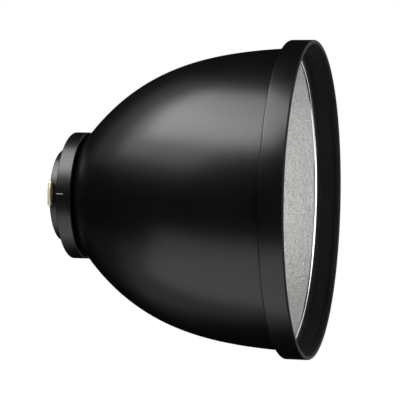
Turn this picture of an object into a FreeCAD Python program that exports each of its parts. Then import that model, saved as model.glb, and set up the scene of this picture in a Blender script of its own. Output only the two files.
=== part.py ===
import FreeCAD, Part
import math
import os

# Deep studio-flash reflector: a spun dish with a grid rim and a three-lug bayonet mount.
# Millimetres. +X runs along the optical axis towards the open front, +Z is up, and the origin is the
# centre of the mount flange's rear face, where the reflector seats on the flash head.
# A bearing is the angle about +X from the -Y side, rising towards +Z.

# ---- driving dimensions ----------------------------------------------------------------------------

# dish
DISH_WALL = 1.5              # sheet thickness
DISH_DEPTH = 191.5           # from the dish's rear face to the rim's rear face
DISH_MOUTH_R = 132.8         # outside, at the rim
DISH_POWER = 5.33            # the higher, the longer the bowl stays wide
DISH_CREST_SHARE = 0.46      # distance from the crest to the mouth, over that from the crest to the floor
DISH_LAND = 1.0              # straight land that carries the rim's web
PROFILE_POINTS = 40          # points that the bowl's curve is drawn through
PROFILE_CROWDING = 1.6       # above 1, they crowd towards the floor, where the bowl bends most

# rim
RIM_STEP = 7.2               # from the dish's outside to the rim's
RIM_WIDTH = 21.6             # front to back
RIM_SHEET = 1.6              # thickness of the band
WEB_THICK = 1.5              # the web between the band and the dish
HEM_LENGTH = 4.8             # the thick lip at the front
HEM_THICK = 3.5
RIM_REAR_ROUND = 1.8         # outer rear corner
LIP_OUTER_ROUND = 1.5        # front lip, outside and inside
LIP_INNER_ROUND = 1.9

# bright ring in the dish's mouth
RING_WIDTH = 2.6             # along the axis
RING_CROWN = 0.2             # how far it stands in from the bowl's inside
RING_LAND = 0.7              # its straight part, behind the bevel
RING_EDGE = 0.2              # what the bevel leaves at the front
RING_SET_BACK = 0.3          # its front edge behind the rim's rear face
RING_SKIN = 0.4              # what the rebate leaves of the dish's wall

# bayonet collar
COLLAR_BORE_R = 35.5         # the lamp passes through here
COLLAR_WALL = 5.75           # of the neck behind the seating face
COLLAR_LENGTH = 11.2         # of that neck
SPIGOT_WALL = 1.5            # of the thinner part that locates flange and dish
COLLAR_CHAMFER = 0.4
SLIP = 0.05                  # radial clearance on the spigot

# mount flange
FLANGE_SHOULDER = 15.85      # from the neck's outside to the flange's
FLANGE_WIDTH = 13.2
FLANGE_WEB = 6.7             # between the seating face and the dish's floor
FLANGE_CHAMFER = 0.5
SEAT_RELIEF = 0.5            # the rear face round the neck stands this far in from the seating face
SEAT_MARGIN = 1.0            # from the lugs' reach out to the seating face
DISH_FLOOR_MARGIN = 1.15     # from the neck's radius to where the dish's floor turns into the bowl
DISH_GAP = 0.6               # between the flange's front recess and the bowl

# bayonet lugs
LUG_COUNT = 3
LUG_BEARING = 6.5            # middle of the first lug, degrees
LUG_SPAN = 28.0              # degrees
LUG_THICK = 2.8
LUG_REACH = 5.25             # beyond the neck
LUG_SEAT_WALL = 1.2          # what the seat leaves of the collar's wall
LUG_CORNER = 1.2             # rounding of the outer corners
LUG_SIDE_GAP = 0.1           # between a lug and each side of its seat
LUG_RAMP_RISE = 0.8          # lead-in on the clamping side
LUG_RAMP_SPAN = 9.0          # degrees of lug that the lead-in takes

# screws: M2.5 countersunk in the lugs, M3 button head in the clamp ring
SCREW_CLEARANCE = 0.2        # radial, where a shank passes through
LUG_SCREW_R = 1.25
LUG_SCREW_HEAD_R = 2.2
LUG_SCREW_BITE = 5.0         # thread in the collar
LUG_SCREW_OFFSET = 8.0       # degrees each side of the lug's middle
LUG_SOCKET = 1.5             # across the flats
LUG_SOCKET_DEPTH = 0.8
CLAMP_SCREW_COUNT = 6
CLAMP_SCREW_R = 1.5
CLAMP_SCREW_BITE = 6.3       # thread in the collar
CLAMP_HEAD_R = 2.75
CLAMP_HEAD_HEIGHT = 1.65
CLAMP_HEAD_ROUND = 1.0
CLAMP_SOCKET = 2.0           # across the flats
CLAMP_SOCKET_DEPTH = 1.0

# clamp ring
CLAMP_THICK = 2.5
CLAMP_GAP = 0.4              # between the clamp ring and the bowl
CLAMP_ROUND = 0.5

# index mark and lock hole
MARK_BEARING = 5.75          # degrees
MARK_LENGTH = 6.8
MARK_WIDTH = 0.9
MARK_DEPTH = 0.35
LOCK_HOLE_R = 2.6
LOCK_HOLE_DEPTH = 5.0

# ---- places that follow from them ------------------------------------------------------------------

RIM_R = DISH_MOUTH_R + RIM_STEP
RIM_REAR_X = FLANGE_WEB + DISH_DEPTH
RIM_FRONT_X = RIM_REAR_X + RIM_WIDTH
WEB_FRONT_X = RIM_REAR_X + WEB_THICK
DISH_END_X = RIM_REAR_X + DISH_LAND
RING_FRONT_X = RIM_REAR_X - RING_SET_BACK
RING_REAR_X = RING_FRONT_X - RING_WIDTH
RING_OUTER_R = DISH_MOUTH_R - RING_SKIN
RING_THICK = DISH_WALL - RING_SKIN + RING_CROWN
COLLAR_R = COLLAR_BORE_R + COLLAR_WALL
SPIGOT_R = COLLAR_BORE_R + SPIGOT_WALL
SPIGOT_SEAT_R = SPIGOT_R + SLIP
DISH_FLOOR_R = COLLAR_R + DISH_FLOOR_MARGIN
FLANGE_R = COLLAR_R + FLANGE_SHOULDER
FLOOR_INSIDE_X = FLANGE_WEB + DISH_WALL
CLAMP_FRONT_X = FLOOR_INSIDE_X + CLAMP_THICK
CLAMP_SCREW_CIRCLE_R = (SPIGOT_R + COLLAR_R) / 2
CLAMP_BEARING = LUG_BEARING + 90.0 / LUG_COUNT
LUG_R = COLLAR_R + LUG_REACH
LUG_SEAT_R = COLLAR_BORE_R + LUG_SEAT_WALL
LUG_FRONT_X = LUG_THICK - COLLAR_LENGTH
LUG_SCREW_CIRCLE_R = (LUG_SEAT_R + COLLAR_R) / 2
LUG_SCREW_END_X = LUG_FRONT_X + LUG_SCREW_BITE
SEAT_INNER_R = LUG_R + SEAT_MARGIN
LOCK_HOLE_CIRCLE_R = (SEAT_INNER_R + FLANGE_R) / 2

X_AXIS = FreeCAD.Vector(1, 0, 0)
CENTRE = FreeCAD.Vector(0, 0, 0)


# ---- helpers ---------------------------------------------------------------------------------------

def at(x, r):
    """Point of a section: x along the axis, r out from it."""
    return FreeCAD.Vector(x, 0, r)


def rounded(corners):
    """Closed outline through (x, r, rounding) corners, each rounding an arc tangent to both sides."""
    points = [at(x, r) for x, r, _ in corners]
    edges = []
    starts = []
    ends = []
    for i, (_, _, radius) in enumerate(corners):
        here = points[i]
        back = (points[i - 1] - here).normalize()
        ahead = (points[(i + 1) % len(points)] - here).normalize()
        half = back.getAngle(ahead) / 2
        reach = radius / math.tan(half)
        starts.append(here + back * reach)
        ends.append(here + ahead * reach)
        if radius > 0:
            inward = (back + ahead).normalize()
            middle = here + inward * (radius / math.sin(half) - radius)
            edges.append(Part.Arc(starts[i], middle, ends[i]).toShape())
    for i, end in enumerate(ends):
        start = starts[(i + 1) % len(starts)]
        if end.distanceToPoint(start) > 1e-7:
            edges.append(Part.makeLine(end, start))
    return Part.Wire(Part.__sortEdges__(edges))


def turned(outline):
    """The solid that a closed section makes about the optical axis."""
    return Part.Face(outline).revolve(CENTRE, X_AXIS, 360)


def rod(radius, rear_x, front_x):
    """A round bar along +X."""
    return Part.makeCylinder(radius, front_x - rear_x, at(rear_x, 0), X_AXIS)


def placed(shape, circle_r, bearing):
    """The shape moved out to a circle and round to a bearing. It starts on the axis."""
    moved = shape.copy()
    moved.translate(at(0, circle_r))
    moved.rotate(CENTRE, X_AXIS, 90 - bearing)
    return moved


def sector(inner_r, outer_r, rear_x, front_x, bearing, span):
    """A piece of ring centred on a bearing."""
    face = Part.Face(rounded([(rear_x, inner_r, 0), (front_x, inner_r, 0),
                              (front_x, outer_r, 0), (rear_x, outer_r, 0)]))
    piece = face.revolve(CENTRE, X_AXIS, span)
    piece.rotate(CENTRE, X_AXIS, 90 - bearing - span / 2)
    return piece


def hexagon(across_flats, rear_x, front_x):
    """A six-sided bar along +X, for a screw's socket."""
    corner_r = across_flats / math.sqrt(3)
    corners = [FreeCAD.Vector(rear_x, corner_r * math.cos(i * math.pi / 3), corner_r * math.sin(i * math.pi / 3))
               for i in range(6)]
    outline = Part.makePolygon(corners + corners[:1])
    return Part.Face(outline).extrude(X_AXIS * (front_x - rear_x))


def lug_bearings():
    return [LUG_BEARING + i * 360.0 / LUG_COUNT for i in range(LUG_COUNT)]


def lug_screw_bearings(lug_bearing):
    return [lug_bearing + side * LUG_SCREW_OFFSET for side in (-1, 1)]


def clamp_bearings():
    return [CLAMP_BEARING + i * 360.0 / CLAMP_SCREW_COUNT for i in range(CLAMP_SCREW_COUNT)]


def drilled(shape, radius, rear_x, front_x, circle_r, bearings):
    """The shape less a round hole at each bearing."""
    return shape.cut([placed(rod(radius, rear_x, front_x), circle_r, bearing) for bearing in bearings])


def clamp_holes(shape):
    """The shape with its clearance holes for the clamp screws."""
    return drilled(shape, CLAMP_SCREW_R + SCREW_CLEARANCE, 0, CLAMP_FRONT_X, CLAMP_SCREW_CIRCLE_R, clamp_bearings())


# ---- the bowl's curve ------------------------------------------------------------------------------

CREST_X = (RIM_REAR_X - DISH_CREST_SHARE * FLANGE_WEB) / (1 - DISH_CREST_SHARE)
MOUTH_FALL = DISH_CREST_SHARE ** DISH_POWER
CREST_R = (DISH_MOUTH_R - DISH_FLOOR_R * MOUTH_FALL) / (1 - MOUTH_FALL)


def bowl_r(x):
    """Outside radius of the bowl: it falls from the crest as a power of the distance back from it."""
    share = (CREST_X - x) / (CREST_X - FLANGE_WEB)
    return CREST_R - (CREST_R - DISH_FLOOR_R) * share ** DISH_POWER


def bowl_slope(x):
    share = (CREST_X - x) / (CREST_X - FLANGE_WEB)
    return (CREST_R - DISH_FLOOR_R) * DISH_POWER * share ** (DISH_POWER - 1) / (CREST_X - FLANGE_WEB)


def inside(x):
    """Point of the bowl's inside, one wall in from the outside point at x."""
    slope = bowl_slope(x)
    scale = DISH_WALL / math.hypot(1, slope)
    return x + slope * scale, bowl_r(x) - scale


def outside_x_for_inside(inside_x):
    """Outside x whose inside point lies at inside_x, by halving."""
    low, high = FLANGE_WEB - DISH_WALL, RIM_REAR_X
    for _ in range(60):
        middle = (low + high) / 2
        if inside(middle)[0] < inside_x:
            low = middle
        else:
            high = middle
    return high


def inside_r(inside_x):
    return inside(outside_x_for_inside(inside_x))[1]


def spaced(start, end):
    """Places along the bowl, closer together near the floor, where it bends most."""
    last = PROFILE_POINTS - 1
    return [start + (end - start) * (i / last) ** PROFILE_CROWDING for i in range(PROFILE_POINTS)]


# ---- the pieces ------------------------------------------------------------------------------------

def make_dish():
    outer = [at(x, bowl_r(x)) for x in spaced(FLANGE_WEB, RIM_REAR_X)]
    inner = [at(*inside(x)) for x in spaced(outside_x_for_inside(FLOOR_INSIDE_X),
                                            outside_x_for_inside(RING_REAR_X))]
    outer_curve = Part.BSplineCurve()
    outer_curve.interpolate(outer)
    inner_curve = Part.BSplineCurve()
    inner_curve.interpolate(inner)
    straight = [[outer[-1], at(DISH_END_X, DISH_MOUTH_R), at(DISH_END_X, RING_OUTER_R),
                 at(RING_REAR_X, RING_OUTER_R), inner[-1]],
                [inner[0], at(FLOOR_INSIDE_X, SPIGOT_SEAT_R), at(FLANGE_WEB, SPIGOT_SEAT_R), outer[0]]]
    edges = [outer_curve.toShape(), inner_curve.toShape()]
    for run in straight:
        edges += [Part.makeLine(a, b) for a, b in zip(run, run[1:])]
    dish = turned(Part.Wire(Part.__sortEdges__(edges)))
    return clamp_holes(dish)


def make_front_rim():
    band_r = RIM_R - RIM_SHEET
    lip_r = RIM_R - HEM_THICK
    hem_x = RIM_FRONT_X - HEM_LENGTH
    return turned(rounded([(RIM_REAR_X, DISH_MOUTH_R, 0),
                           (RIM_REAR_X, RIM_R, RIM_REAR_ROUND),
                           (RIM_FRONT_X, RIM_R, LIP_OUTER_ROUND),
                           (RIM_FRONT_X, lip_r, LIP_INNER_ROUND),
                           (hem_x, lip_r, 0),
                           (hem_x, band_r, 0),
                           (WEB_FRONT_X, band_r, 0),
                           (WEB_FRONT_X, DISH_MOUTH_R, 0)]))


def make_mouth_ring():
    """Straight outside and rear, a short land on the inside, and a bevel that opens towards the front."""
    return turned(rounded([(RING_REAR_X, RING_OUTER_R, 0),
                           (RING_REAR_X, RING_OUTER_R - RING_THICK, 0),
                           (RING_REAR_X + RING_LAND, RING_OUTER_R - RING_THICK, 0),
                           (RING_FRONT_X, RING_OUTER_R - RING_EDGE, 0),
                           (RING_FRONT_X, RING_OUTER_R, 0)]))


def flange_blank():
    recess_r = DISH_FLOOR_R + DISH_GAP
    mouth_r = bowl_r(FLANGE_WIDTH) + DISH_GAP
    c = FLANGE_CHAMFER
    return turned(rounded([(SEAT_RELIEF, SPIGOT_SEAT_R, 0), (SEAT_RELIEF, SEAT_INNER_R, 0),
                           (0, SEAT_INNER_R, 0), (0, FLANGE_R - c, 0), (c, FLANGE_R, 0),
                           (FLANGE_WIDTH - c, FLANGE_R, 0), (FLANGE_WIDTH, FLANGE_R - c, 0),
                           (FLANGE_WIDTH, mouth_r, 0), (FLANGE_WEB, recess_r, 0),
                           (FLANGE_WEB, SPIGOT_SEAT_R, 0)]))


def mark_groove():
    """The slot of the index mark, still on the +Z side of the axis."""
    slot = Part.makeBox(MARK_LENGTH, MARK_WIDTH, 2 * MARK_DEPTH,
                        FreeCAD.Vector(0, -MARK_WIDTH / 2, FLANGE_R - MARK_DEPTH))
    return placed(slot, 0, MARK_BEARING)


def make_mount_flange():
    flange = drilled(clamp_holes(flange_blank()), LOCK_HOLE_R, 0, LOCK_HOLE_DEPTH, LOCK_HOLE_CIRCLE_R, [MARK_BEARING])
    return flange.cut(mark_groove())


def make_index_mark():
    return flange_blank().common(mark_groove())


def make_bayonet_collar():
    c = COLLAR_CHAMFER
    collar = turned(rounded([(-COLLAR_LENGTH, COLLAR_BORE_R + c, 0), (-COLLAR_LENGTH, COLLAR_R - c, 0),
                             (c - COLLAR_LENGTH, COLLAR_R, 0), (SEAT_RELIEF, COLLAR_R, 0),
                             (SEAT_RELIEF, SPIGOT_R, 0), (FLOOR_INSIDE_X, SPIGOT_R, 0),
                             (FLOOR_INSIDE_X, COLLAR_BORE_R, 0), (c - COLLAR_LENGTH, COLLAR_BORE_R, 0)]))
    gap = math.degrees(LUG_SIDE_GAP / LUG_SEAT_R)
    for bearing in lug_bearings():
        collar = collar.cut(sector(LUG_SEAT_R, LUG_R, -COLLAR_LENGTH, LUG_FRONT_X, bearing, LUG_SPAN + 2 * gap))
        collar = lug_screw_holes(collar, LUG_SCREW_R, bearing)
    return drilled(collar, CLAMP_SCREW_R, -CLAMP_SCREW_BITE, SEAT_RELIEF, CLAMP_SCREW_CIRCLE_R, clamp_bearings())


def lug_countersink():
    """Cone from the head's rim down to the shank, opening to the rear."""
    return Part.makeCone(LUG_SCREW_HEAD_R, LUG_SCREW_R, LUG_SCREW_HEAD_R - LUG_SCREW_R,
                         at(-COLLAR_LENGTH, 0), X_AXIS)


def lug_screw_holes(shape, radius, lug_bearing):
    """The shape with a countersunk hole for each screw of a lug."""
    bearings = lug_screw_bearings(lug_bearing)
    shape = drilled(shape, radius, -COLLAR_LENGTH, LUG_SCREW_END_X, LUG_SCREW_CIRCLE_R, bearings)
    return shape.cut([placed(lug_countersink(), LUG_SCREW_CIRCLE_R, bearing) for bearing in bearings])


def make_lug(bearing):
    lug = sector(LUG_SEAT_R, LUG_R, -COLLAR_LENGTH, LUG_FRONT_X, bearing, LUG_SPAN)
    corners = [edge for edge in lug.Edges
               if abs(edge.Length - LUG_THICK) < 1e-6 and edge.CenterOfMass.Length > COLLAR_R]
    lug = lug.makeFillet(LUG_CORNER, corners)
    return lug_screw_holes(lug, LUG_SCREW_R + SCREW_CLEARANCE, bearing).cut(lug_ramp(bearing))


def lug_ramp(bearing):
    """Wedge off the clamping face at the end that turns in first, outside the collar."""
    lead = math.radians(LUG_RAMP_SPAN) * LUG_R
    wedge = Part.Face(Part.makePolygon([FreeCAD.Vector(LUG_FRONT_X, 0, COLLAR_R),
                                        FreeCAD.Vector(LUG_FRONT_X, lead, COLLAR_R),
                                        FreeCAD.Vector(LUG_FRONT_X - LUG_RAMP_RISE, lead, COLLAR_R),
                                        FreeCAD.Vector(LUG_FRONT_X, 0, COLLAR_R)]))
    wedge = wedge.extrude(FreeCAD.Vector(0, 0, LUG_R))
    return placed(wedge, 0, bearing - LUG_SPAN / 2 + LUG_RAMP_SPAN)


def make_lug_screws(bearing):
    screw = lug_countersink().fuse(rod(LUG_SCREW_R, -COLLAR_LENGTH, LUG_SCREW_END_X))
    screw = screw.cut(hexagon(LUG_SOCKET, -COLLAR_LENGTH, LUG_SOCKET_DEPTH - COLLAR_LENGTH)).removeSplitter()
    return Part.makeCompound([placed(screw, LUG_SCREW_CIRCLE_R, b) for b in lug_screw_bearings(bearing)])


def make_clamp_ring():
    rear_r = inside_r(FLOOR_INSIDE_X) - CLAMP_GAP
    front_r = inside_r(CLAMP_FRONT_X) - CLAMP_GAP
    ring = turned(rounded([(FLOOR_INSIDE_X, COLLAR_BORE_R, 0), (CLAMP_FRONT_X, COLLAR_BORE_R, CLAMP_ROUND),
                           (CLAMP_FRONT_X, front_r, CLAMP_ROUND), (FLOOR_INSIDE_X, rear_r, 0)]))
    return clamp_holes(ring)


def make_clamp_screws():
    """Button heads on the clamp ring, shanks back into the collar's tapped holes."""
    top = CLAMP_FRONT_X + CLAMP_HEAD_HEIGHT
    head = turned(rounded([(CLAMP_FRONT_X, 0, 0), (CLAMP_FRONT_X, CLAMP_HEAD_R, 0),
                           (top, CLAMP_HEAD_R, CLAMP_HEAD_ROUND), (top, 0, 0)]))
    screw = head.fuse(rod(CLAMP_SCREW_R, -CLAMP_SCREW_BITE, CLAMP_FRONT_X))
    screw = screw.cut(hexagon(CLAMP_SOCKET, top - CLAMP_SOCKET_DEPTH, top)).removeSplitter()
    return Part.makeCompound([placed(screw, CLAMP_SCREW_CIRCLE_R, b) for b in clamp_bearings()])


def main():
    nodes = {
        "dish": make_dish(),
        "front_rim": make_front_rim(),
        "mouth_ring": make_mouth_ring(),
        "mount_flange": make_mount_flange(),
        "bayonet_collar": make_bayonet_collar(),
        "clamp_ring": make_clamp_ring(),
        "clamp_screws": make_clamp_screws(),
        "index_mark": make_index_mark(),
    }
    for number, bearing in enumerate(lug_bearings(), start=1):
        nodes[f"bayonet_lug_{number}"] = make_lug(bearing)
        nodes[f"lug_screws_{number}"] = make_lug_screws(bearing)
    os.makedirs("parts", exist_ok=True)
    for name, shape in nodes.items():
        shape.exportStep(f"parts/{name}.step")
        print(f"{name}: {len(shape.Solids)} solid(s), {shape.Volume / 1000:.2f} cm3, valid {shape.isValid()}")


main()
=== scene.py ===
import logging
import math
from dataclasses import dataclass
from enum import Enum
from typing import Callable

import bmesh
import bpy
import numpy as np
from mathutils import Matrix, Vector


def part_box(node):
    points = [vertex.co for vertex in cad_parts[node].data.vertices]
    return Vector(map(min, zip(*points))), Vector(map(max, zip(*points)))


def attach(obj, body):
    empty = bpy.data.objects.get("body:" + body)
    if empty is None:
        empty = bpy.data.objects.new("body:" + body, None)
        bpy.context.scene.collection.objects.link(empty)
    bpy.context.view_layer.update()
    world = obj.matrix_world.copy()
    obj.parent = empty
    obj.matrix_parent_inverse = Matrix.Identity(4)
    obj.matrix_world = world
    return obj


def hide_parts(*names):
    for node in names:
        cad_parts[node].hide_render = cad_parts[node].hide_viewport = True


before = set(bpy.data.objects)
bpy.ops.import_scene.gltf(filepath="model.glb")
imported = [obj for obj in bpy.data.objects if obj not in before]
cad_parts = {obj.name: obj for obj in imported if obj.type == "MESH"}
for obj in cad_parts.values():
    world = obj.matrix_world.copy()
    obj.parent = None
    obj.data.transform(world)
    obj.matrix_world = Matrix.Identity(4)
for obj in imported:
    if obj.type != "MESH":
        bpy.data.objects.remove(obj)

MM = 0.001
BODY = "root"
SHARP_EDGE = math.radians(32)
MERGE_WITHIN = 2e-6            # corners of CAD triangles this close are one point, in metres
NOISE_LOW, NOISE_HIGH = 0.3, 0.7    # what a noise texture's value mostly lies between

log = logging.getLogger("reflector")


# ---- surfaces --------------------------------------------------------------------------------------

Section = np.ndarray    # n rows of (x, r): a section through the optical axis
Relief = Callable[[np.ndarray, np.ndarray], np.ndarray]


def softened(corners: list[tuple[float, float, float]], steps: int = 7) -> Section:
    """An outline through corners, each rounded by an arc tangent to its two sides.

    An arc's centre lies on the corner's bisector, radius over the sine of half the angle from it, and
    its points turn evenly from one tangent point to the other.

    Args:
        corners: (x, r, rounding) of each corner, in order.
        steps: Points on each rounded corner.

    Returns:
        The closed outline, without its first point repeated.
    """
    places = np.array([corner[:2] for corner in corners])
    runs = []
    for here, before, after, (_, _, radius) in zip(
        places, np.roll(places, 1, axis=0), np.roll(places, -1, axis=0), corners
    ):
        if radius <= 0:
            runs.append(here[None, :])
            continue
        back = (before - here) / np.linalg.norm(before - here)
        ahead = (after - here) / np.linalg.norm(after - here)
        half = math.acos(float(np.clip(back @ ahead, -1, 1))) / 2
        bisector = (back + ahead) / np.linalg.norm(back + ahead)
        centre = here + bisector * radius / math.sin(half)
        first = here + back * radius / math.tan(half) - centre
        last = here + ahead * radius / math.tan(half) - centre
        sweep = math.pi - 2 * half
        share = np.linspace(0, 1, steps)[:, None]
        turned = np.sin((1 - share) * sweep) * first + np.sin(share * sweep) * last
        runs.append(centre + turned / math.sin(sweep))
    return np.vstack(runs)


@dataclass
class Surface:
    """A closed surface: its points, its four-cornered faces and the finish number of each face."""

    points: np.ndarray
    quads: np.ndarray
    finishes: np.ndarray

    @classmethod
    def turned(cls, section: Section, turns: int, finishes: np.ndarray | None = None,
               relief: Relief | None = None) -> "Surface":
        """A closed section turned about the optical axis.

        Point (i, j) is (x_j, -r cos b_i, r sin b_i), where b_i is the bearing and r is the section's r_j
        plus the relief there. Both directions wrap round, so the surface has no seam.

        Args:
            section: The closed section.
            turns: How many columns go round the axis.
            finishes: A finish number for the face that follows each point of the section.
            relief: Height over the section as a function of bearing and the section's point number.

        Returns:
            The surface, with its faces outwards.
        """
        rows = len(section)
        bearing = np.arange(turns)[:, None] * (2 * math.pi / turns)
        radius = np.broadcast_to(section[:, 1], (turns, rows))
        if relief is not None:
            radius = radius + relief(bearing, np.arange(rows)[None, :])
        points = np.stack((np.broadcast_to(section[:, 0], (turns, rows)),
                           -radius * np.cos(bearing), radius * np.sin(bearing)), axis=-1).reshape(-1, 3)
        column, row = np.meshgrid(np.arange(turns), np.arange(rows), indexing="ij")
        right, below = (column + 1) % turns, (row + 1) % rows
        quads = np.stack((column * rows + row, right * rows + row,
                          right * rows + below, column * rows + below), axis=-1).reshape(-1, 4)
        marks = np.zeros(rows, int) if finishes is None else finishes
        made = cls(points, quads, np.tile(marks, turns))
        return made if made.volume() > 0 else cls(points, quads[:, ::-1].copy(), made.finishes)

    def volume(self) -> float:
        """Volume inside the faces, negative if they point inwards."""
        a, b, c, d = (self.points[self.quads[:, k]] for k in range(4))
        return float((np.einsum("ij,ij->", a, np.cross(b, c)) + np.einsum("ij,ij->", a, np.cross(c, d))) / 6)

    def piece(self, name: str) -> bpy.types.Object:
        """The surface as a smooth-shaded object whose sharp edges stay sharp.

        Args:
            name: Name of the object and its mesh.

        Returns:
            The object, at the origin.
        """
        mesh = bpy.data.meshes.new(name)
        mesh.vertices.add(len(self.points))
        mesh.vertices.foreach_set("co", self.points.astype(np.float32).ravel())
        mesh.loops.add(self.quads.size)
        mesh.loops.foreach_set("vertex_index", self.quads.astype(np.int32).ravel())
        mesh.polygons.add(len(self.quads))
        mesh.polygons.foreach_set("loop_start", np.arange(0, self.quads.size, 4, dtype=np.int32))
        mesh.polygons.foreach_set("material_index", self.finishes.astype(np.int32))
        mesh.update(calc_edges=True)
        return placed(name, mesh)


def placed(name: str, mesh: bpy.types.Mesh) -> bpy.types.Object:
    """An object at the origin with this mesh, smooth but for its sharp edges.

    Args:
        name: Name of the object.
        mesh: Its mesh.

    Returns:
        The object, in the scene.
    """
    mesh.polygons.foreach_set("use_smooth", np.ones(len(mesh.polygons), bool))
    mesh.set_sharp_from_angle(angle=SHARP_EDGE)
    made = bpy.data.objects.new(name, mesh)
    bpy.context.scene.collection.objects.link(made)
    return made


def joined_copy(node: str, name: str) -> bpy.types.Object:
    """A CAD node's shape with its loose triangles joined, so that round faces shade round.

    Args:
        node: The CAD node.
        name: Name of the new piece.

    Returns:
        The new object, at the origin.
    """
    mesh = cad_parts[node].data.copy()
    mesh.name = name
    work = bmesh.new()
    work.from_mesh(mesh)
    bmesh.ops.remove_doubles(work, verts=work.verts, dist=MERGE_WITHIN)
    work.to_mesh(mesh)
    work.free()
    mesh.attributes.remove(mesh.attributes["custom_normal"])
    mesh.materials.clear()
    mesh.update()
    return placed(name, mesh)


class Slot(Enum):
    """The record's material slots."""

    SATIN_BLACK = "satin_black"
    TURNED_BLACK = "turned_black"
    BRIGHT = "polished_aluminium"
    SATIN = "satin_aluminium"
    BRASS = "brass"
    STEEL = "zinc_steel"
    MARK = "mark_paint"


def fitted(piece: bpy.types.Object, node: str, slot: Slot,
           *materials: bpy.types.Material) -> bpy.types.Object:
    """Dresses a piece and says what it is.

    Args:
        piece: The new piece.
        node: The CAD node that it stands for.
        slot: That node's slot in the record. Not used.
        materials: Its materials, in the order of its finish numbers.

    Returns:
        The piece.
    """
    for material in materials:
        piece.data.materials.append(material)
    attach(piece, BODY)
    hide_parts(node)
    log.info("%s: %d faces, stands for %s", piece.name, len(piece.data.polygons), node)
    return piece


# ---- finishes --------------------------------------------------------------------------------------


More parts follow.
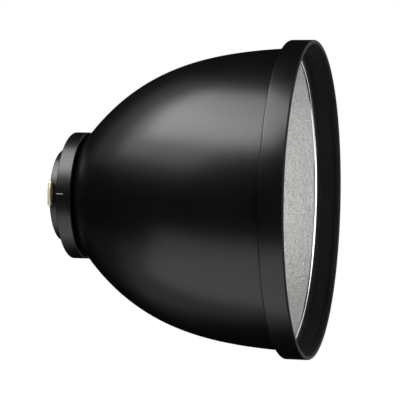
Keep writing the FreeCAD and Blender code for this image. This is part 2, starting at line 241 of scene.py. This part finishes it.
class Nodes:
    """Writes the node tree of one material."""

    def __init__(self, name: str) -> None:
        """Starts a material with one Principled shader.

        Args:
            name: The material's name.
        """
        self.material = bpy.data.materials.new(name)
        self.material.use_nodes = True
        self.tree = self.material.node_tree
        self.tree.nodes.clear()
        self.shader = self.tree.nodes.new("ShaderNodeBsdfPrincipled")
        output = self.tree.nodes.new("ShaderNodeOutputMaterial")
        self.tree.links.new(self.shader.outputs[0], output.inputs["Surface"])

    def add(self, kind: str, settings: dict | None = None, **inputs: object) -> bpy.types.Node:
        """Adds a node.

        Args:
            kind: The node's type, without the ShaderNode in front.
            settings: Its properties.
            inputs: Its inputs, a socket to link or a value to set, with _ for a blank in the name.

        Returns:
            The node.
        """
        node = self.tree.nodes.new("ShaderNode" + kind)
        for key, value in (settings or {}).items():
            setattr(node, key, value)
        for key, value in inputs.items():
            self.feed(node, key.replace("_", " "), value)
        return node

    def feed(self, node: bpy.types.Node, key: str | int, value: object) -> None:
        """Links a socket to an input of a node, or sets the input's value.

        Args:
            node: The node that is fed.
            key: Name or number of its input.
            value: A socket to link or a value to set.
        """
        if isinstance(value, bpy.types.NodeSocket):
            self.tree.links.new(value, node.inputs[key])
        else:
            node.inputs[key].default_value = value

    def maths(self, operation: str, *values: object) -> bpy.types.NodeSocket:
        """The result of a Math node on sockets or numbers.

        Args:
            operation: What the node does.
            values: What it works on, in order.

        Returns:
            The result.
        """
        node = self.add("Math", {"operation": operation})
        for index, value in enumerate(values):
            self.feed(node, index, value)
        return node.outputs[0]

    def ranged(self, value: bpy.types.NodeSocket, low: float, high: float) -> bpy.types.NodeSocket:
        """A noise value spread over low to high.

        Args:
            value: The noise value.
            low: Result at the low end of the noise.
            high: Result at its high end.

        Returns:
            The result.
        """
        node = self.add("MapRange", Value=value, From_Min=NOISE_LOW, From_Max=NOISE_HIGH,
                        To_Min=low, To_Max=high)
        return node.outputs[0]

    def blend(self, first: bpy.types.NodeSocket, second: bpy.types.NodeSocket,
              share: float) -> bpy.types.NodeSocket:
        """Two noise values added, the first with this share and the second with the rest."""
        return self.maths("ADD", self.maths("MULTIPLY", first, share),
                          self.maths("MULTIPLY", second, 1.0 - share))

    def place(self) -> bpy.types.NodeSocket:
        """The point's own place on the object, in metres."""
        return self.add("TexCoord").outputs["Object"]

    def axial(self, along: float, out: float, around: float = 0.0) -> bpy.types.NodeSocket:
        """Coordinates of turned metal: the place along the axis, the radius, and a little of the bearing.

        Args:
            along: Scale of the place along the axis.
            out: Scale of the radius.
            around: Scale of the sideways place, which breaks long marks up.

        Returns:
            A vector socket whose pattern runs in circles about the optical axis.
        """
        split = self.add("SeparateXYZ", Vector=self.place())
        x, y, z = split.outputs[0], split.outputs[1], split.outputs[2]
        squares = self.maths("ADD", self.maths("MULTIPLY", y, y), self.maths("MULTIPLY", z, z))
        radius = self.maths("SQRT", squares)
        return self.add("CombineXYZ", X=self.maths("MULTIPLY", x, along),
                        Y=self.maths("MULTIPLY", radius, out),
                        Z=self.maths("MULTIPLY", self.maths("ADD", y, z), around)).outputs[0]

    def noise(self, vector: bpy.types.NodeSocket, scale: float, detail: float = 2.0,
              roughness: float = 0.5) -> bpy.types.NodeSocket:
        """The value of a noise texture."""
        return self.add("TexNoise", Vector=vector, Scale=scale, Detail=detail, Roughness=roughness).outputs[0]

    def bump(self, height: bpy.types.NodeSocket, distance: float, strength: float,
             onto: bpy.types.NodeSocket | None = None) -> bpy.types.NodeSocket:
        """A normal raised by a height, on top of another if one is given.

        Args:
            height: The height, from 0 to 1.
            distance: What a height of 1 is, in metres.
            strength: How strongly it shows, from 0 to 1.
            onto: A normal to start from.

        Returns:
            The normal.
        """
        node = self.add("Bump", Height=height, Distance=distance, Strength=strength)
        if onto is not None:
            self.feed(node, "Normal", onto)
        return node.outputs[0]

    def tint(self, value: bpy.types.NodeSocket, dark: tuple[float, float, float],
             light: tuple[float, float, float]) -> bpy.types.NodeSocket:
        """A colour between dark and light, as a noise value goes over its usual span.

        Args:
            value: The noise value.
            dark: Colour at the low end of the noise.
            light: Colour at its high end.

        Returns:
            The colour.
        """
        node = self.add("Mix", {"data_type": "RGBA"}, Factor=self.ranged(value, 0.0, 1.0))
        self.feed(node, 6, (*dark, 1.0))
        self.feed(node, 7, (*light, 1.0))
        return node.outputs[2]

    def finish(self, **inputs: object) -> bpy.types.Material:
        """Sets the shader's inputs and returns the material.

        Args:
            inputs: The shader's inputs, a socket to link or a value to set, with _ for a blank in the name.

        Returns:
            The material.
        """
        for key, value in inputs.items():
            self.feed(self.shader, key.replace("_", " "), value)
        return self.material


def greys(shade: float, mottle: float) -> tuple[tuple[float, ...], tuple[float, ...]]:
    """A dark and a light grey, each this share away from the shade."""
    return (shade * (1 - mottle),) * 3, (shade * (1 + mottle),) * 3


@dataclass(frozen=True)
class SatinPaint:
    """Smooth black stove paint on the dish and the rim."""

    name: str = "stove_paint"
    shade: float = 0.0018
    mottle: float = 0.1                   # share by which the shade wanders
    roughness: float = 0.29
    gloss_spread: float = 0.015
    grain: float = 0.5 * MM
    cloud: float = 30 * MM
    skin: float = 0.004 * MM              # height of the grain
    refraction: float = 1.5

    def material(self) -> bpy.types.Material:
        """Builds the paint: even colour clouds, a fine grain in the gloss and a skin of tiny bumps.

        Returns:
            The material.
        """
        nodes = Nodes(self.name)
        place = nodes.place()
        cloud = nodes.noise(place, 1.0 / self.cloud)
        grain = nodes.noise(place, 1.0 / self.grain, 3.0)
        return nodes.finish(
            Base_Color=nodes.tint(cloud, *greys(self.shade, self.mottle)),
            Roughness=nodes.ranged(nodes.blend(cloud, grain, 0.5),
                                   self.roughness - self.gloss_spread, self.roughness + self.gloss_spread),
            Normal=nodes.bump(grain, self.skin, 0.6),
            IOR=self.refraction)


@dataclass(frozen=True)
class MattePaint:
    """Dull black paint inside the rim, which keeps stray light down."""

    name: str = "matte_paint"
    shade: float = 0.0062
    mottle: float = 0.12
    roughness: float = 0.5
    gloss_spread: float = 0.05
    grain: float = 0.35 * MM
    cloud: float = 14 * MM
    skin: float = 0.015 * MM
    refraction: float = 1.25

    def material(self) -> bpy.types.Material:
        """Builds the paint: a dry, grainy surface with faint clouds.

        Returns:
            The material.
        """
        nodes = Nodes(self.name)
        place = nodes.place()
        grain = nodes.noise(place, 1.0 / self.grain, 3.0)
        cloud = nodes.noise(place, 1.0 / self.cloud)
        return nodes.finish(
            Base_Color=nodes.tint(cloud, *greys(self.shade, self.mottle)),
            Roughness=nodes.ranged(grain, self.roughness - self.gloss_spread,
                                   self.roughness + self.gloss_spread),
            Normal=nodes.bump(grain, self.skin, 0.6),
            IOR=self.refraction)


@dataclass(frozen=True)
class TurnedBlack:
    """Black anodised aluminium, turned on a lathe: the mount."""

    name: str = "turned_anodised"
    dark: tuple[float, float, float] = (0.00182, 0.00182, 0.00210)
    light: tuple[float, float, float] = (0.00364, 0.00364, 0.00420)
    roughness: float = 0.31
    gloss_spread: float = 0.07
    pitch: float = 0.45 * MM              # of the tool marks
    band: float = 2.6 * MM                # of the wider bands among them
    depth: float = 0.012 * MM
    refraction: float = 1.55

    def material(self) -> bpy.types.Material:
        """Builds fine circular tool marks in both the gloss and the surface.

        Returns:
            The material.
        """
        nodes = Nodes(self.name)
        marks = nodes.noise(nodes.axial(1.0, 1.0, 0.004), 1.0 / self.pitch, 2.0, 0.7)
        bands = nodes.noise(nodes.axial(1.0, 1.0, 0.01), 1.0 / self.band)
        both = nodes.blend(marks, bands, 0.6)
        return nodes.finish(
            Base_Color=nodes.tint(both, self.dark, self.light),
            Roughness=nodes.ranged(both, self.roughness - self.gloss_spread,
                                   self.roughness + self.gloss_spread),
            Normal=nodes.bump(marks, self.depth, 0.8),
            IOR=self.refraction)


@dataclass(frozen=True)
class TexturedSilver:
    """Bare aluminium with a fine pebbled texture, which scatters the light: the inside of the bowl."""

    name: str = "pebbled_silver"
    dark: tuple[float, float, float] = (0.66, 0.66, 0.65)
    light: tuple[float, float, float] = (0.90, 0.90, 0.89)
    roughness: float = 0.5
    pebble: float = 2.2 * MM
    pebble_height: float = 0.75 * MM
    etch: float = 0.5 * MM
    etch_height: float = 0.03 * MM

    def material(self) -> bpy.types.Material:
        """Builds pebbles of two sizes and a fine etched grain.

        Returns:
            The material.
        """
        nodes = Nodes(self.name)
        place = nodes.place()
        pebbles = nodes.noise(place, 1.0 / self.pebble, 3.0, 0.6)
        etch = nodes.noise(place, 1.0 / self.etch)
        normal = nodes.bump(pebbles, self.pebble_height, 1.0)
        return nodes.finish(
            Base_Color=nodes.tint(pebbles, self.dark, self.light),
            Roughness=nodes.ranged(etch, self.roughness - 0.06, self.roughness + 0.08),
            Normal=nodes.bump(etch, self.etch_height, 0.6, normal),
            Metallic=1.0)


@dataclass(frozen=True)
class WorkedMetal:
    """Bare metal with fine marks that run round the axis: the ring, the lugs, the clamp ring and screws."""

    name: str
    dark: tuple[float, float, float]
    light: tuple[float, float, float]
    roughness: float
    metallic: float = 1.0
    pitch: float = 0.3 * MM
    wear: float = 6 * MM
    depth: float = 0.004 * MM

    def material(self) -> bpy.types.Material:
        """Builds fine circular marks over a faint cloud of handling wear.

        Returns:
            The material.
        """
        nodes = Nodes(self.name)
        marks = nodes.noise(nodes.axial(1.0, 1.0, 0.02), 1.0 / self.pitch, 2.0, 0.6)
        wear = nodes.noise(nodes.place(), 1.0 / self.wear, 3.0)
        both = nodes.blend(marks, wear, 0.5)
        return nodes.finish(
            Base_Color=nodes.tint(both, self.dark, self.light),
            Roughness=nodes.ranged(both, self.roughness * 0.75, self.roughness * 1.3),
            Normal=nodes.bump(marks, self.depth, 0.7),
            Metallic=self.metallic)


@dataclass(frozen=True)
class MarkPaint:
    """The pale paint that fills the index groove."""

    name: str = "groove_paint"
    dark: tuple[float, float, float] = (0.22, 0.22, 0.20)
    light: tuple[float, float, float] = (0.30, 0.30, 0.28)
    grain: float = 0.4 * MM
    skin: float = 0.02 * MM

    def material(self) -> bpy.types.Material:
        """Builds a dull, slightly uneven paint.

        Returns:
            The material.
        """
        nodes = Nodes(self.name)
        grain = nodes.noise(nodes.place(), 1.0 / self.grain, 3.0)
        return nodes.finish(
            Base_Color=nodes.tint(grain, self.dark, self.light),
            Roughness=nodes.ranged(grain, 0.5, 0.65),
            Normal=nodes.bump(grain, self.skin, 0.6))


class Finishes:
    """One material of each finish, shared by the pieces."""

    def __init__(self) -> None:
        """Builds every material."""
        self.paint = SatinPaint().material()
        self.matte = MattePaint().material()
        self.turned = TurnedBlack().material()
        self.silver = TexturedSilver().material()
        self.polished = WorkedMetal(
            "bright_ring_metal", (0.84, 0.84, 0.83), (0.92, 0.92, 0.91), roughness=0.20).material()
        self.satin = WorkedMetal(
            "clamp_metal", (0.66, 0.66, 0.66), (0.80, 0.80, 0.80), roughness=0.34).material()
        self.brass = WorkedMetal(
            "lug_brass", (0.70, 0.64, 0.46), (0.84, 0.78, 0.60), roughness=0.5, metallic=0.45).material()
        self.steel = WorkedMetal(
            "screw_steel", (0.50, 0.50, 0.50), (0.64, 0.64, 0.63), roughness=0.30).material()
        self.mark = MarkPaint().material()


# ---- the bowl --------------------------------------------------------------------------------------


@dataclass
class Bowl:
    """The spun dish, black outside and silver inside, with the bright ring in its mouth."""

    wall: float = 1.5 * MM
    floor_radius: float = 42.4 * MM       # where the flat floor turns into the bowl, outside
    hole_radius: float = 37.05 * MM
    power: float = 5.33
    crest_share: float = 0.46
    land: float = 1.0 * MM                # straight end that carries the rim
    skin: float = 0.4 * MM                # what the ring's rebate leaves of the wall
    turns: int = 512
    crowding: float = 1.5
    outer_rows: int = 44
    inner_rows: int = 145
    unevenness: float = 0.02 * MM         # of the silver inside, at any one wave
    wave: float = 5.5 * MM
    waves: int = 14
    seed: int = 11
    table_rows: int = 4000
    bead_rows: int = 14
    bead_proud: float = 0.15 * MM         # how far the bead stands in from the bowl

    def __post_init__(self) -> None:
        """Takes the places along the axis and the mouth's radius from the frame."""
        dish_low, dish_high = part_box("dish")
        ring_low, ring_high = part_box("mouth_ring")
        self.rear_x, self.end_x = dish_low.x, dish_high.x
        self.mouth_radius = dish_high.z
        self.mouth_x = self.end_x - self.land
        self.ring_rear_x, self.ring_front_x = ring_low.x, ring_high.x
        self.ring_radius = self.mouth_radius - self.skin
        self.crest_x = (self.mouth_x - self.crest_share * self.rear_x) / (1 - self.crest_share)
        fall = self.crest_share ** self.power
        self.crest_radius = (self.mouth_radius - self.floor_radius * fall) / (1 - fall)

    def outside(self, x: np.ndarray) -> Section:
        """Outside of the bowl: the radius falls from the crest as a power of the distance back from it.

        Args:
            x: Places along the axis.

        Returns:
            Rows of (x, r).
        """
        share = (self.crest_x - x) / (self.crest_x - self.rear_x)
        radius = self.crest_radius - (self.crest_radius - self.floor_radius) * share ** self.power
        return np.column_stack((x, radius))

    def inside(self, x: np.ndarray) -> Section:
        """Inside of the bowl: each outside point moved one wall along its inward normal.

        Args:
            x: Places along the axis of the outside points.

        Returns:
            Rows of (x, r).
        """
        share = (self.crest_x - x) / (self.crest_x - self.rear_x)
        slope = ((self.crest_radius - self.floor_radius) * self.power * share ** (self.power - 1)
                 / (self.crest_x - self.rear_x))
        scale = self.wall / np.hypot(1, slope)
        return self.outside(x) + np.column_stack((slope * scale, -scale))

    def inside_at(self, inside_x: float) -> float:
        """Outside x whose inside point lies at inside_x, read from a fine table of the curve."""
        x = np.linspace(self.rear_x - self.wall, self.mouth_x, self.table_rows)
        return float(np.interp(inside_x, self.inside(x)[:, 0], x))

    def crowded(self, start: float, end: float, count: int) -> np.ndarray:
        """Places from start to end, closer together at the start, as a power of an even share."""
        return start + (end - start) * np.linspace(0, 1, count) ** self.crowding

    def ripple(self, first: int, last: int, along: np.ndarray) -> Relief:
        """Gentle unevenness of the silver inside, a sum of waves in scattered directions.

        Each wave is a cosine of the way along the curve and a whole number of turns round the axis, so
        it closes on itself. The sum fades to nothing at both ends of the inside.

        Args:
            first: Number of the section's first inside point.
            last: Number of the one after its last.
            along: Distance along the curve of each inside point.

        Returns:
            The relief function.
        """
        random = np.random.default_rng(self.seed)
        directions = random.uniform(0, 2 * math.pi, self.waves)
        lengths = self.wave * random.uniform(0.75, 1.35, self.waves)
        phases = random.uniform(0, 2 * math.pi, self.waves)
        fade = np.clip(np.minimum(along - along.min(), along.max() - along) / self.wave, 0, 1)

        def relief(bearing: np.ndarray, row: np.ndarray) -> np.ndarray:
            """Height at each bearing and section point.

            Args:
                bearing: A column of bearings.
                row: A row of section point numbers.

            Returns:
                Height over the section, bearing by point.
            """
            height = np.zeros(np.broadcast_shapes(bearing.shape, row.shape))
            total = sum(
                np.cos(2 * math.pi / length * math.cos(way) * along[None, :]
                       + round(2 * math.pi / length * math.sin(way) * self.mouth_radius) * bearing + phase)
                for way, length, phase in zip(directions, lengths, phases))
            height[:, first:last] = self.unevenness * total * fade
            return height

        return relief

    def build_dish(self, finishes: Finishes) -> bpy.types.Object:
        """The dish, as one closed surface turned from its section.

        Args:
            finishes: The shared materials.

        Returns:
            The piece.
        """
        floor_inside_x = self.rear_x + self.wall
        outer = self.outside(self.crowded(self.rear_x, self.mouth_x, self.outer_rows))
        inner = self.inside(self.crowded(self.inside_at(floor_inside_x), self.inside_at(self.ring_rear_x),
                                         self.inner_rows))[::-1]
        end = np.array([(self.end_x, self.mouth_radius), (self.end_x, self.ring_radius),
                        (self.ring_rear_x, self.ring_radius)])
        floor = np.array([(floor_inside_x, self.hole_radius), (self.rear_x, self.hole_radius)])
        section = np.vstack((outer, end, inner, floor))
        first = len(outer) + len(end)
        last = first + len(inner)
        along = np.concatenate(([0], np.cumsum(np.linalg.norm(np.diff(inner, axis=0), axis=1))))
        marks = np.zeros(len(section), int)
        marks[first - 1:last] = 1
        surface = Surface.turned(section, self.turns, marks, self.ripple(first, last, along))
        return fitted(surface.piece("dish_shell"), "dish", Slot.SATIN_BLACK, finishes.paint, finishes.silver)

    def build_ring(self, finishes: Finishes) -> bpy.types.Object:
        """The bright ring: flat against the dish, and a quarter of an oval towards the light.

        Args:
            finishes: The shared materials.

        Returns:
            The piece.
        """
        crown = float(self.inside(np.array([self.inside_at(self.ring_rear_x)]))[0, 1]) - self.bead_proud
        turn = np.linspace(0, math.pi / 2, self.bead_rows)
        bead = np.column_stack((self.ring_rear_x + (self.ring_front_x - self.ring_rear_x) * np.sin(turn),
                                self.ring_radius - (self.ring_radius - crown) * np.cos(turn)))
        section = np.vstack((bead, [(self.ring_rear_x, self.ring_radius)]))
        surface = Surface.turned(section, self.turns)
        return fitted(surface.piece("mouth_ring_bead"), "mouth_ring", Slot.BRIGHT, finishes.polished)

    def build(self, finishes: Finishes) -> None:
        """Builds the dish and its ring."""
        self.build_dish(finishes)
        self.build_ring(finishes)


# ---- the rim ---------------------------------------------------------------------------------------


@dataclass
class GridRim:
    """The rolled rim: a band with a web behind and a hemmed lip in front."""

    sheet: float = 1.6 * MM
    web: float = 1.5 * MM
    hem_length: float = 4.8 * MM
    hem_thickness: float = 3.5 * MM
    rear_round: float = 1.8 * MM
    lip_outer_round: float = 1.5 * MM
    lip_inner_round: float = 1.9 * MM
    edge_round: float = 0.25 * MM
    web_round: float = 0.75 * MM          # where the web turns into the band, inside
    hem_step: float = 0.5 * MM            # the fold's own edge, inside
    turns: int = 448

    def section(self) -> Section:
        """The rim's outline, with a soft radius on every bend of the sheet.

        Returns:
            The closed outline.
        """
        low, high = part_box("front_rim")
        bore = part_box("dish")[1].z
        rear, front, outer = low.x, high.x, high.z
        band, lip = outer - self.sheet, outer - self.hem_thickness
        hem = front - self.hem_length
        return softened([
            (rear, bore, 0), (rear, outer, self.rear_round), (front, outer, self.lip_outer_round),
            (front, lip, self.lip_inner_round), (hem, lip, self.hem_step), (hem, band, self.edge_round),
            (rear + self.web, band, self.web_round), (rear + self.web, bore, self.edge_round)])

    def build(self, finishes: Finishes) -> bpy.types.Object:
        """Builds the rim.

        Args:
            finishes: The shared materials.

        Returns:
            The piece.
        """
        section = self.section()
        low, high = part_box("front_rim")
        middle = (section + np.roll(section, -1, axis=0)) / 2
        lip = middle[:, 0] > high.x - self.lip_outer_round
        inside = lip | (middle[:, 1] < high.z - self.sheet / 2) & (middle[:, 0] > low.x + self.web / 2)
        surface = Surface.turned(section, self.turns, inside.astype(int))
        return fitted(surface.piece("rim_band"), "front_rim", Slot.SATIN_BLACK,
                      finishes.paint, finishes.matte)


# ---- the mount -------------------------------------------------------------------------------------


@dataclass
class BayonetMount:
    """Flange, neck, lugs and their screws, the index mark, and the clamp ring inside the bowl."""

    lug_count: int = 3

    def dress(self, node: str, name: str, slot: Slot, material: bpy.types.Material) -> None:
        """Dresses a joined copy of a CAD node."""
        fitted(joined_copy(node, name), node, slot, material)

    def build_turned(self, finishes: Finishes) -> None:
        """Dresses the flange, the neck and the clamp ring.

        Args:
            finishes: The shared materials.
        """
        self.dress("mount_flange", "flange_ring", Slot.TURNED_BLACK, finishes.turned)
        self.dress("bayonet_collar", "neck_collar", Slot.TURNED_BLACK, finishes.turned)
        self.dress("clamp_ring", "clamp_ring_plate", Slot.SATIN, finishes.satin)

    def build_small(self, finishes: Finishes) -> None:
        """Dresses the lugs, the screws and the index mark.

        Args:
            finishes: The shared materials.
        """
        for number in range(1, self.lug_count + 1):
            self.dress(f"bayonet_lug_{number}", f"brass_lug_{number}", Slot.BRASS, finishes.brass)
            self.dress(f"lug_screws_{number}", f"countersunk_screws_{number}", Slot.STEEL, finishes.steel)
        self.dress("clamp_screws", "button_screws", Slot.STEEL, finishes.steel)
        self.dress("index_mark", "index_line", Slot.MARK, finishes.mark)

    def build(self, finishes: Finishes) -> None:
        """Builds every piece of the mount."""
        self.build_turned(finishes)
        self.build_small(finishes)


# ---- the studio ------------------------------------------------------------------------------------


@dataclass(frozen=True)
class Softbox:
    """A lamp that faces the reflector's middle. Angles in degrees, lengths in metres, power in watts."""

    name: str
    azimuth: float                        # 0 stands on the -Y side, 90 in front of the mouth
    elevation: float
    distance: float
    width: float
    height: float
    power: float

    def light(self, target: Vector) -> bpy.types.Object:
        """Puts up the lamp.

        Args:
            target: The point that it faces.

        Returns:
            The lamp's object.
        """
        data = bpy.data.lights.new(self.name, "AREA")
        data.shape = "RECTANGLE"
        data.size, data.size_y, data.energy = self.width, self.height, self.power
        lamp = bpy.data.objects.new(self.name, data)
        way = direction(self.azimuth, self.elevation)
        lamp.location = target + way * self.distance
        lamp.rotation_euler = way.to_track_quat("Z", "Y").to_euler()
        lamp.visible_camera = False
        bpy.context.scene.collection.objects.link(lamp)
        return lamp


def direction(azimuth: float, elevation: float) -> Vector:
    """Unit vector from the object: azimuth 0 is -Y and 90 is +X, in degrees."""
    a, e = math.radians(azimuth), math.radians(elevation)
    return Vector((math.sin(a) * math.cos(e), -math.cos(a) * math.cos(e), math.sin(e)))


@dataclass
class Studio:
    """A white room with a pale floor, soft lamps and a long lens."""

    middle_x: float = 116.15 * MM
    azimuth: float = math.degrees(0.2452)     # of the camera, as a lamp's
    elevation: float = math.degrees(0.0803)
    distance: float = 1.5714
    drop: float = 2.0 * MM                # the lens points this far under the axis
    lens: float = 158.7                   # in lens millimetres, on a 36 mm wide sensor
    sensor: float = 36.0
    floor_z: float = -2.0
    floor_size: float = 30.0
    lamps: tuple[Softbox, ...] = (
        Softbox("top_box", -45, 60, 1.4, 1.4, 0.9, 18.5),
        Softbox("top_left_box", -60, 44, 1.4, 1.4, 0.9, 7.2),
        Softbox("left_box", -75, 44, 1.4, 2.2, 1.4, 2.9),
        Softbox("low_box", 0, -54, 1.4, 3.2, 1.4, 13.8),
        Softbox("under_box", -30, -62, 1.4, 3.2, 1.4, 3.4),
        Softbox("low_left_box", -75, -45, 1.4, 2.2, 1.4, 0.45),
        Softbox("front_box", 68, 12, 1.4, 2.4, 2.1, 33.0),
        Softbox("side_box", 138, 2, 1.4, 1.6, 3.4, 13.0),
    )

    def put_camera(self) -> bpy.types.Object:
        """Puts the camera up and makes it the scene's.

        Returns:
            The camera's object.
        """
        data = bpy.data.cameras.new("camera")
        data.lens, data.sensor_width = self.lens, self.sensor
        data.clip_start, data.clip_end = 0.05, 100.0
        camera = bpy.data.objects.new("camera", data)
        target = Vector((self.middle_x, 0.0, 0.0))
        camera.location = target + direction(self.azimuth, self.elevation) * self.distance
        aim = Vector((self.middle_x, 0.0, -self.drop))
        camera.rotation_euler = (camera.location - aim).to_track_quat("Z", "Y").to_euler()
        bpy.context.scene.collection.objects.link(camera)
        bpy.context.scene.camera = camera
        return camera

    def put_floor(self) -> bpy.types.Object:
        """Lays the plain pale floor, which only the camera sees, so that it throws no light back.

        Returns:
            The floor's object.
        """
        half = self.floor_size / 2
        mesh = bpy.data.meshes.new("floor")
        mesh.from_pydata([(-half, -half, self.floor_z), (half, -half, self.floor_z),
                          (half, half, self.floor_z), (-half, half, self.floor_z)], [], [(0, 1, 2, 3)])
        nodes = Nodes("pale_floor")
        mesh.materials.append(nodes.finish(Base_Color=(0.9, 0.9, 0.9, 1.0), Roughness=0.9,
                                           Emission_Color=(1.0, 1.0, 1.0, 1.0), Emission_Strength=1.0))
        floor = bpy.data.objects.new("floor", mesh)
        bpy.context.scene.collection.objects.link(floor)
        floor.visible_diffuse = floor.visible_glossy = floor.visible_shadow = False
        return floor

    def put_world(self) -> None:
        """Makes the room white to the camera and dark to the object, which the lamps light."""
        world = bpy.data.worlds.new("white_room")
        world.use_nodes = True
        background = world.node_tree.nodes["Background"]
        background.inputs["Color"].default_value = (1.0, 1.0, 1.0, 1.0)
        background.inputs["Strength"].default_value = 1.0
        world.cycles_visibility.diffuse = False
        world.cycles_visibility.glossy = False
        bpy.context.scene.world = world

    def build(self) -> None:
        """Sets up the camera, the floor, the room and the lamps."""
        self.put_camera()
        self.put_floor()
        self.put_world()
        target = Vector((self.middle_x, 0.0, 0.0))
        for lamp in self.lamps:
            lamp.light(target)
        view = bpy.context.scene.view_settings
        view.view_transform, view.look = "Standard", "None"
        log.info("studio: %d lamps", len(self.lamps))


# ---- putting it together ---------------------------------------------------------------------------


def main() -> None:
    """Builds the reflector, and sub-assembly by sub-assembly."""
    logging.basicConfig(level=logging.INFO, format="%(name)s: %(message)s")
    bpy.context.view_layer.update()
    finishes = Finishes()
    Bowl().build(finishes)
    GridRim().build(finishes)
    BayonetMount().build(finishes)
    Studio().build()


if __name__ == "__main__":
    main()
